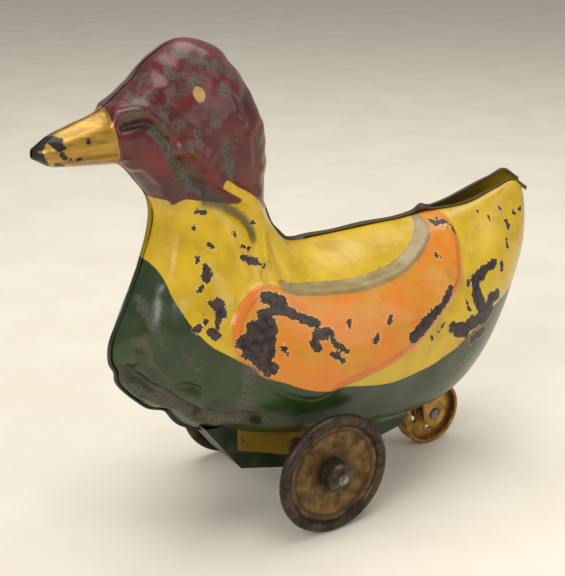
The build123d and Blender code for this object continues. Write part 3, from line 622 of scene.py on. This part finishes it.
class BodyPaint(Finish):
    """Printed enamel on tin: yellow, green, orange wing, maroon head, gold beak, and its wear, with painted
    shade in the folds and on the wing's step.
    """

    def __init__(self):
        super().__init__("body_paint")
        self.fine = self.noise(0.9, 3)
        self.small = self.noise(2.6, 4, offset=3)
        self.broad = self.noise(16, 4, offset=7)
        self.cloudy = self.noise(6, 5, offset=11)
        self.jitter = self.swing(self.fine, 0.5)

    def mask(self, name, soft=0.18):
        """Where a printed zone is, with a slightly ragged edge."""
        return self.step(self.plus(self.field(name), self.jitter), -soft, soft)

    def yellow(self):
        # two yellows by broad noise, then paler cloudy patches in a painted highlight tone, strewn at random
        colour = self.blend(self.step(self.broad, 0.35, 0.7), srgb(210, 174, 20), srgb(186, 150, 12))
        return self.blend(self.step(self.cloudy, 0.5, 0.75, 0, 0.35), colour, srgb(216, 188, 56))

    def orange(self):
        """The wing, with a redder border and a thin brown line inside it, except along the band of painted
        shade at its top.
        """
        wing, away = self.field("wing"), self.step(self.field("shaded_band"), 6, 15)
        colour = self.blend(self.step(self.broad, 0.35, 0.65), srgb(212, 122, 22), srgb(200, 136, 20))
        colour = self.blend(self.step(self.cloudy, 0.5, 0.7, 0, 0.4), colour, srgb(190, 96, 20))
        border = self.times(self.step(wing, 4.2, 2.8), self.times(away, 0.5))
        colour = self.blend(border, colour, srgb(214, 92, 28))
        line = self.times(self.step(wing, 2.3, 2.9), self.step(wing, 3.7, 3.1))
        line = self.times(line, self.times(away, self.step(self.cloudy, 0.35, 0.6, 0.1, 0.6)))
        return self.blend(line, colour, srgb(165, 78, 28))

    # Painted shade: the grey-olive band on the sloping step above the raised wing.
    def shaded_band(self):
        return self.blend(self.step(self.cloudy, 0.35, 0.65), srgb(140, 124, 82), srgb(118, 104, 62))

    def green(self):
        colour = self.blend(self.step(self.broad, 0.3, 0.7), srgb(20, 42, 10), srgb(34, 60, 16))
        return self.blend(self.step(self.cloudy, 0.45, 0.75, 0, 0.6), colour, srgb(48, 58, 30))

    def maroon(self):
        colour = self.blend(self.step(self.broad, 0.3, 0.7), srgb(104, 8, 14), srgb(66, 10, 14))
        return self.blend(self.step(self.cloudy, 0.42, 0.72, 0, 0.6), colour, srgb(82, 34, 32))

    def gold(self):
        streaks = self.noise(3, 4, stretch=(4, 1, 0.5), offset=5)
        colour = self.blend(self.step(streaks, 0.35, 0.75, 0, 0.7), srgb(186, 144, 54), srgb(104, 72, 18))
        return self.blend(self.step(self.cloudy, 0.5, 0.7, 0, 0.5), colour, srgb(150, 108, 36))

    def print_colours(self):
        """All the printed zones, with the band of painted shade over the wing's top edge, each laid over the
        one before it.
        """
        self.head, self.beak = self.mask("head"), self.mask("beak")
        colour = self.blend(self.mask("wing"), self.yellow(), self.orange())
        # the band of painted shade on the step above the wing
        shaded_band = self.step(self.plus(self.field("shaded_band"), self.jitter), 2.1, 1.6)
        colour = self.blend(self.times(shaded_band, 0.9), colour, self.shaded_band())
        colour = self.blend(self.mask("green"), colour, self.green())
        colour = self.blend(self.head, colour, self.maroon())
        colour = self.blend(self.beak, colour, self.gold())
        tip = self.plus(self.field("tip"), self.swing(self.small, 3.2))
        colour = self.blend(self.step(tip, -0.2, 0.2), colour, srgb(34, 32, 28))
        self.eye = self.mask("eye", soft=0.1)
        return self.blend(self.eye, colour, self.blend(self.small, srgb(190, 150, 80), srgb(150, 118, 60)))

    def shade_and_scuffs(self, colour):
        """Painted shade darkening the fold valleys, and speckled olive-grey scuffs."""
        depth = self.plus(self.field("valley"), self.times(self.small, 0.8))
        # painted shade: the deeper a fold valley, the nearer to olive-black, a warmer dark on the head
        valley_shade = self.blend(self.head, srgb(44, 40, 20), srgb(34, 36, 28))
        colour = self.blend(self.step(depth, 0.9, 2.4, 0, 0.8), colour, valley_shade)
        patch = self.plus(self.times(self.math("MAXIMUM", self.field("scuffs"), -5.0), 0.09),
                          self.plus(self.times(self.small, 0.9), self.times(self.cloudy, 0.6)))
        patch = self.plus(patch, self.swing(self.fine, 0.5))
        off_the_eye = self.math("SUBTRACT", 1.0, self.eye)
        self.scuff = self.times(self.step(patch, 0.7, 1.0, 0, 0.85), off_the_eye)
        speckle = self.step(self.noise(0.5, 3, offset=17), 0.4, 0.62)
        return self.blend(self.scuff, colour, self.blend(speckle, srgb(40, 40, 32), srgb(96, 92, 74)))

    def bare_spots(self, colour):
        """Bare brown-grey metal, with a pale torn edge of enamel round it, and small specks."""
        ragged = self.plus(self.swing(self.small, 4.6), self.swing(self.fine, 2.4))
        ragged = self.plus(self.field("chips"), ragged)
        colour = self.blend(self.step(ragged, -0.45, -0.1, 0, 0.5), colour, srgb(222, 196, 120))
        speck = self.step(self.noise(1.3, 2, offset=21), 0.71, 0.74)
        speck = self.times(speck, self.step(self.broad, 0.45, 0.6))
        self.bare = self.math("MAXIMUM", self.step(ragged, 0.0, 0.12), self.times(speck, 0.85))
        metal = self.blend(self.step(self.small, 0.3, 0.7), srgb(34, 27, 26), srgb(76, 62, 60))
        metal = self.blend(self.step(self.fine, 0.58, 0.78, 0, 0.6), metal, srgb(128, 112, 96))
        return self.blend(self.bare, colour, metal)

    def relief(self):
        """Uneven enamel that stands above the bare metal, fine scratches, and shallow dents."""
        enamel = self.bump(self.math("SUBTRACT", self.cloudy, self.bare), 0.14)
        scratched = self.bump(self.noise(1.2, 5, 0.7, stretch=(1, 1, 4), offset=31), 0.05, after=enamel)
        return self.bump(self.noise(9, 3, offset=41), 0.35, after=scratched)

    def build(self):
        colour = self.bare_spots(self.shade_and_scuffs(self.print_colours()))
        # the seam lip darkened almost to black: partly the dark bare flange, partly painted shade of the
        # edges in the seam
        colour = self.blend(self.times(self.field("lip"), 0.92), colour, srgb(26, 24, 18))
        rubbed = self.times(self.math("MAXIMUM", self.bare, self.scuff), 0.26)
        roughness = self.plus(self.plus(0.26, rubbed), self.times(self.cloudy, 0.10))
        metallic = self.math("MAXIMUM", self.times(self.bare, 0.55), self.times(self.beak, 0.5))
        return self.finish(colour, roughness, metallic, self.relief(), coat_weight=0.25, coat_roughness=0.12)


def bare_tin():
    """The unpainted inside of the sheet: dull olive-grey tin plate."""
    f = Finish("bare_tin")
    cloud, grain = f.noise(9, 5), f.noise(1.2, 3, offset=5)
    colour = f.blend(f.step(cloud, 0.35, 0.7), srgb(120, 112, 84), srgb(74, 66, 46))
    colour = f.blend(f.step(grain, 0.55, 0.75, 0, 0.6), colour, srgb(150, 140, 104))
    return f.finish(colour, f.step(cloud, 0.2, 0.8, 0.38, 0.6), 0.6, f.bump(grain, 0.05))


def worn_metal(name, light, dark, rust, size, rust_from=0.55):
    """Metal that has dulled in clouds, with rust or dirt where the noise is high, and fine pits."""
    f = Finish(name)
    cloud, grain = f.noise(size, 5), f.noise(size / 5, 4, offset=4)
    patches = f.noise(size * 1.7, 6, 0.65, offset=9)
    colour = f.blend(f.step(cloud, 0.3, 0.7), srgb(*light), srgb(*dark))
    rusty = f.step(f.plus(patches, f.swing(grain, 0.3)), rust_from, rust_from + 0.12)
    colour = f.blend(f.times(rusty, 0.85), colour, srgb(*rust))
    shine = f.times(f.math("SUBTRACT", 1.0, f.times(rusty, 0.7)), 0.75)
    rough = f.plus(f.step(cloud, 0.3, 0.7, 0.32, 0.6), f.times(rusty, 0.15))
    relief = f.bump(grain, 0.06, after=f.bump(patches, 0.12))
    return f.finish(colour, rough, shine, relief)


def wheel_finish(name, node):
    """A pressed wheel: dark worn rim, gold-brown web, a pressed ring, and darkening round the hub."""
    low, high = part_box(node)
    f = Finish(name)
    cloud, grain = f.noise(5, 5), f.noise(1.1, 4, offset=4)
    reach = f.plus(f.radius((low + high) / 2), f.swing(cloud, 3.0))
    gold = f.blend(f.step(cloud, 0.3, 0.68), srgb(124, 96, 52), srgb(78, 58, 30))
    gold = f.blend(f.step(grain, 0.55, 0.75, 0, 0.6), gold, srgb(50, 34, 18))
    rim = f.blend(f.step(cloud, 0.35, 0.65), srgb(74, 60, 46), srgb(42, 33, 26))
    rim = f.blend(f.step(grain, 0.55, 0.8, 0, 0.7), rim, srgb(120, 92, 64))
    colour = f.blend(f.step(reach, WHEEL_RIM_FROM - 0.8, WHEEL_RIM_FROM + 0.5), gold, rim)
    darker_round_hub = f.times(f.step(reach, WHEEL_HUB + 3.5, WHEEL_HUB), 0.8)
    colour = f.blend(darker_round_hub, colour, srgb(48, 36, 24))
    ring = f.times(f.step(reach, WHEEL_RIM_FROM - 3.2, WHEEL_RIM_FROM - 2.0),
                   f.step(reach, WHEEL_RIM_FROM - 0.4, WHEEL_RIM_FROM - 1.4))
    colour = f.blend(f.times(ring, 0.75), colour, srgb(60, 44, 26))
    relief = f.bump(grain, 0.08, after=f.bump(cloud, 0.2))
    return f.finish(colour, f.step(cloud, 0.3, 0.7, 0.36, 0.58), 0.62, relief)


def pan_paint():
    """Green enamel with a yellow patch on each front side and rubbed, rusty patches strewn over it."""
    f = Finish("pan_paint")
    cloud, grain = f.noise(8, 5), f.noise(1.5, 4, offset=3)
    x, z = f.place()
    jitter = f.swing(grain, 1.2)
    lower_edge = f.math("MULTIPLY_ADD", x, PATCH_SLOPE, PATCH_HEIGHT)
    above = f.plus(f.math("SUBTRACT", z, lower_edge), jitter)
    behind = f.plus(f.plus(x, -PATCH_X[0]), jitter)
    patch = f.times(f.step(above, -0.3, 0.3), f.step(behind, -0.3, 0.3))
    patch = f.times(patch, f.step(x, PATCH_X[1] + 2, PATCH_X[1] - 2))
    pale_edge = f.times(f.step(x, 24, 30), f.step(z, 24, 25.5))
    green = f.blend(f.step(cloud, 0.3, 0.7), srgb(18, 30, 12), srgb(32, 46, 20))
    colour = f.blend(patch, green, f.blend(cloud, srgb(142, 114, 8), srgb(98, 74, 6)))
    colour = f.blend(f.times(pale_edge, 0.6), colour, srgb(120, 128, 50))
    worn = f.step(f.plus(f.times(cloud, 0.7), f.times(grain, 0.5)), 0.68, 0.78)
    colour = f.blend(worn, colour, f.blend(grain, srgb(44, 36, 26), srgb(96, 80, 58)))
    relief = f.bump(f.math("SUBTRACT", cloud, worn), 0.15, after=f.bump(grain, 0.05))
    return f.finish(colour, f.step(cloud, 0.3, 0.7, 0.34, 0.55), f.times(worn, 0.4), relief)


def floor_finish():
    """Pale warm card with a faint mottle."""
    f = Finish("floor_finish")
    colour = f.blend(f.step(f.noise(60, 3), 0.3, 0.7), srgb(236, 230, 216), srgb(230, 223, 208))
    return f.finish(colour, 0.7, 0.0, f.bump(f.noise(1.5, 3), 0.03))


# ---------------------------------------------------------------- pieces
paint = BodyPaint().build()
tin = bare_tin()
for name, side, node in (("duck_left_half", -1, "body_shell_left"),
                         ("duck_right_half", 1, "body_shell_right")):
    shell = shell_object(name, side)
    shell.data.materials.clear()
    shell.data.materials.append(paint)
    shell.data.materials.append(tin)
    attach(shell, "root")
    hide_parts(node)

hub_patina = worn_metal("hub_patina", (92, 80, 62), (48, 44, 40), (52, 34, 24), 3.0)
axle_steel = worn_metal("axle_steel", (150, 142, 128), (84, 76, 66), (82, 52, 32), 3.0)
frame_steel = worn_metal("frame_steel", (150, 146, 138), (104, 100, 94), (96, 66, 42), 9.0, rust_from=0.62)
gear_brass = worn_metal("gear_brass", (196, 158, 82), (150, 114, 52), (92, 66, 34), 4.0, rust_from=0.62)
spring_steel = worn_metal("spring_steel", (88, 92, 104), (52, 54, 62), (92, 62, 40), 5.0, rust_from=0.64)
key_steel = worn_metal("key_steel", (150, 144, 132), (96, 90, 80), (92, 60, 36), 4.0)
rear_gilt = worn_metal("rear_gilt", (190, 146, 70), (134, 98, 44), (78, 54, 30), 3.5, rust_from=0.58)
rivet_brown = worn_metal("rivet_brown", (112, 74, 48), (78, 48, 32), (48, 32, 24), 2.0)

NODE_FINISH = {
    pan_paint(): ["belly_pan"],
    wheel_finish("wheel_left_finish", "front_wheel_left"): ["front_wheel_left"],
    wheel_finish("wheel_right_finish", "front_wheel_right"): ["front_wheel_right"],
    hub_patina: ["hub_boss_left", "hub_boss_right", "wheel_back_left", "wheel_back_right", "axle_bushes"],
    axle_steel: ["front_axle", "rear_axle_pin", "winding_arbor", "second_arbor", "governor_arbor"],
    rear_gilt: ["rear_fork", "rear_wheel_left", "rear_wheel_right"],
    rivet_brown: ["rear_hub", "click_rivet"],
    frame_steel: ["frame_plate_left", "frame_plate_right", "frame_pillars"],
    gear_brass: ["axle_pinion", "great_wheel", "second_wheel", "second_pinion", "governor_pinion",
                 "governor_fan", "ratchet_wheel"],
    spring_steel: ["mainspring", "click", "click_spring"],
    key_steel: ["winding_key", "key_collar"],
}
for finish, names in NODE_FINISH.items():
    for name in names:
        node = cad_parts[name]
        node.data.materials.clear()
        node.data.materials.append(finish)


# ---------------------------------------------------------------- camera, light and floor
def camera():
    """A view from the duck's front left, slightly above it."""
    turn, dip = math.radians(CAMERA_TURN), math.radians(CAMERA_DIP)
    forward = Vector((math.sin(turn) * math.cos(dip), math.cos(turn) * math.cos(dip), -math.sin(dip)))
    right = Vector((math.cos(turn), -math.sin(turn), 0))
    up = right.cross(forward)
    data = bpy.data.cameras.new("camera")
    data.lens = CAMERA_LENS
    data.sensor_width = 36
    data.clip_start = 0.01
    obj = bpy.data.objects.new("camera", data)
    bpy.context.scene.collection.objects.link(obj)
    place = Matrix((right, up, -forward)).transposed().to_4x4()
    place.translation = Vector(CAMERA_AT) * MM
    obj.matrix_world = place
    bpy.context.scene.camera = obj


def area_light(name, at, target, size, power, colour):
    data = bpy.data.lights.new(name, "AREA")
    data.size = size
    data.energy = power
    data.color = colour
    obj = bpy.data.objects.new(name, data)
    bpy.context.scene.collection.objects.link(obj)
    obj.location = at
    obj.rotation_euler = (Vector(target) - Vector(at)).to_track_quat("-Z", "Y").to_euler()


def studio_world():
    """An even warm light from all round."""
    world = bpy.data.worlds.new("studio")
    world.use_nodes = True
    background = world.node_tree.nodes["Background"]
    background.inputs["Color"].default_value = (0.95, 0.92, 0.86, 1)
    background.inputs["Strength"].default_value = 0.40
    bpy.context.scene.world = world


camera()
area_light("overhead", (0.1, 0.1, 1.2), (0, 0, 0.08), 1.1, 11.4, (1, 0.98, 0.94))
area_light("window", (-1.0, -0.5, 0.7), (0, 0, 0.1), 0.6, 6.4, (1, 0.99, 0.97))
area_light("fill", (0.6, -1.0, 0.6), (0, 0, 0.1), 0.9, 3.4, (1, 0.98, 0.95))
studio_world()
bpy.context.scene.view_settings.view_transform = "Standard"

floor = mesh_object("floor", [(-4, -4, 0), (4, -4, 0), (4, 4, 0), (-4, 4, 0)], [(0, 1, 2, 3)])
floor.data.materials.append(floor_finish())
